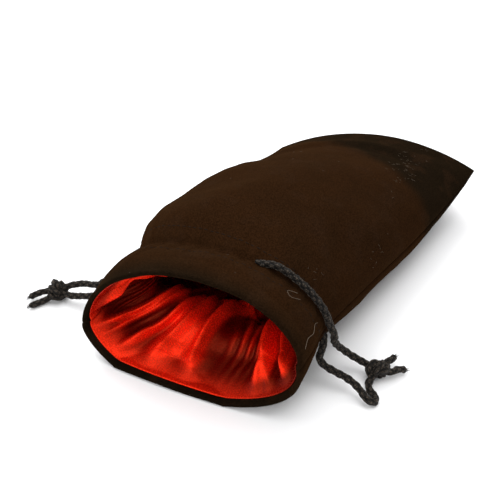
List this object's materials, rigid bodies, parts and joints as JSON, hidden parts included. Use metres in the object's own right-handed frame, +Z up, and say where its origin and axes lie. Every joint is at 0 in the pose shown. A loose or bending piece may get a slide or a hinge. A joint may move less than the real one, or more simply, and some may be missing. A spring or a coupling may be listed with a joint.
{
  "type": "drawstring dice bag",
  "caption": "Small velvet drawstring pouch lying on its side, mouth open, with a satin lining and knotted braided drawcords.",
  "frame": {"origin": "middle of the flat patch of the belly that rests on the table, at table height", "axes": "+Y from the mouth to the bottom seam, +X to the right-hand cord seen from the mouth, +Z up"},
  "size_m": [0.1662, 0.1839, 0.0567],
  "materials": {
    "velvet": "short-pile velvet",
    "satin": "polyester satin",
    "cord": "round braid",
    "thread": "polyester sewing thread"
  },
  "bodies": {
    "bag": {"velvet_upper_panel": "velvet", "velvet_lower_panel": "velvet", "satin_upper_panel": "satin", "satin_lower_panel": "satin", "side_seam_right_header": "velvet", "side_seam_right_body": "velvet", "side_seam_left_header": "velvet", "side_seam_left_body": "velvet", "bottom_seam": "velvet", "lining_bottom_seam": "satin", "casing_stitching_front": "thread", "casing_stitching_rear": "thread", "left_cord_run_upper": "cord", "left_cord_run_lower": "cord", "right_cord_run_lower": "cord", "right_cord_crease_side": "cord"},
    "upper_lip": {"velvet_upper_lip": "velvet", "satin_upper_lip": "satin", "casing_stitching_front_lip": "thread", "casing_stitching_rear_lip": "thread", "left_cord_run_lip": "cord", "right_cord_run_lip": "cord", "right_cord_crease_lip": "cord"},
    "left_drawcord": {"left_strand_upper": "cord", "left_strand_lower": "cord", "left_knot": "cord", "left_tail_front": "cord", "left_tail_back": "cord"},
    "right_drawcord": {"right_strand_upper": "cord", "right_strand_lower": "cord", "right_knot": "cord", "right_tail_front": "cord", "right_tail_back": "cord"}
  },
  "joints": [
    {"name": "left_cord_pull", "type": "slide", "parent": "bag", "child": "left_drawcord", "axis": [-1, 0, 0], "range_m": [0, 0.024]},
    {"name": "right_cord_pull", "type": "slide", "parent": "bag", "child": "right_drawcord", "axis": [1, 0, 0], "range_m": [0, 0.024]},
    {"name": "mouth_close", "type": "hinge", "parent": "bag", "child": "upper_lip", "pos_m": [0, -0.01, 0.044], "axis": [1, 0, 0], "range_deg": [0, 22]}
  ],
  "couplings": [
    {"joint": "right_cord_pull", "follows": "left_cord_pull", "ratio": 1},
    {"joint": "mouth_close", "follows": "left_cord_pull", "rad_per_m": 15.99}
  ]
}
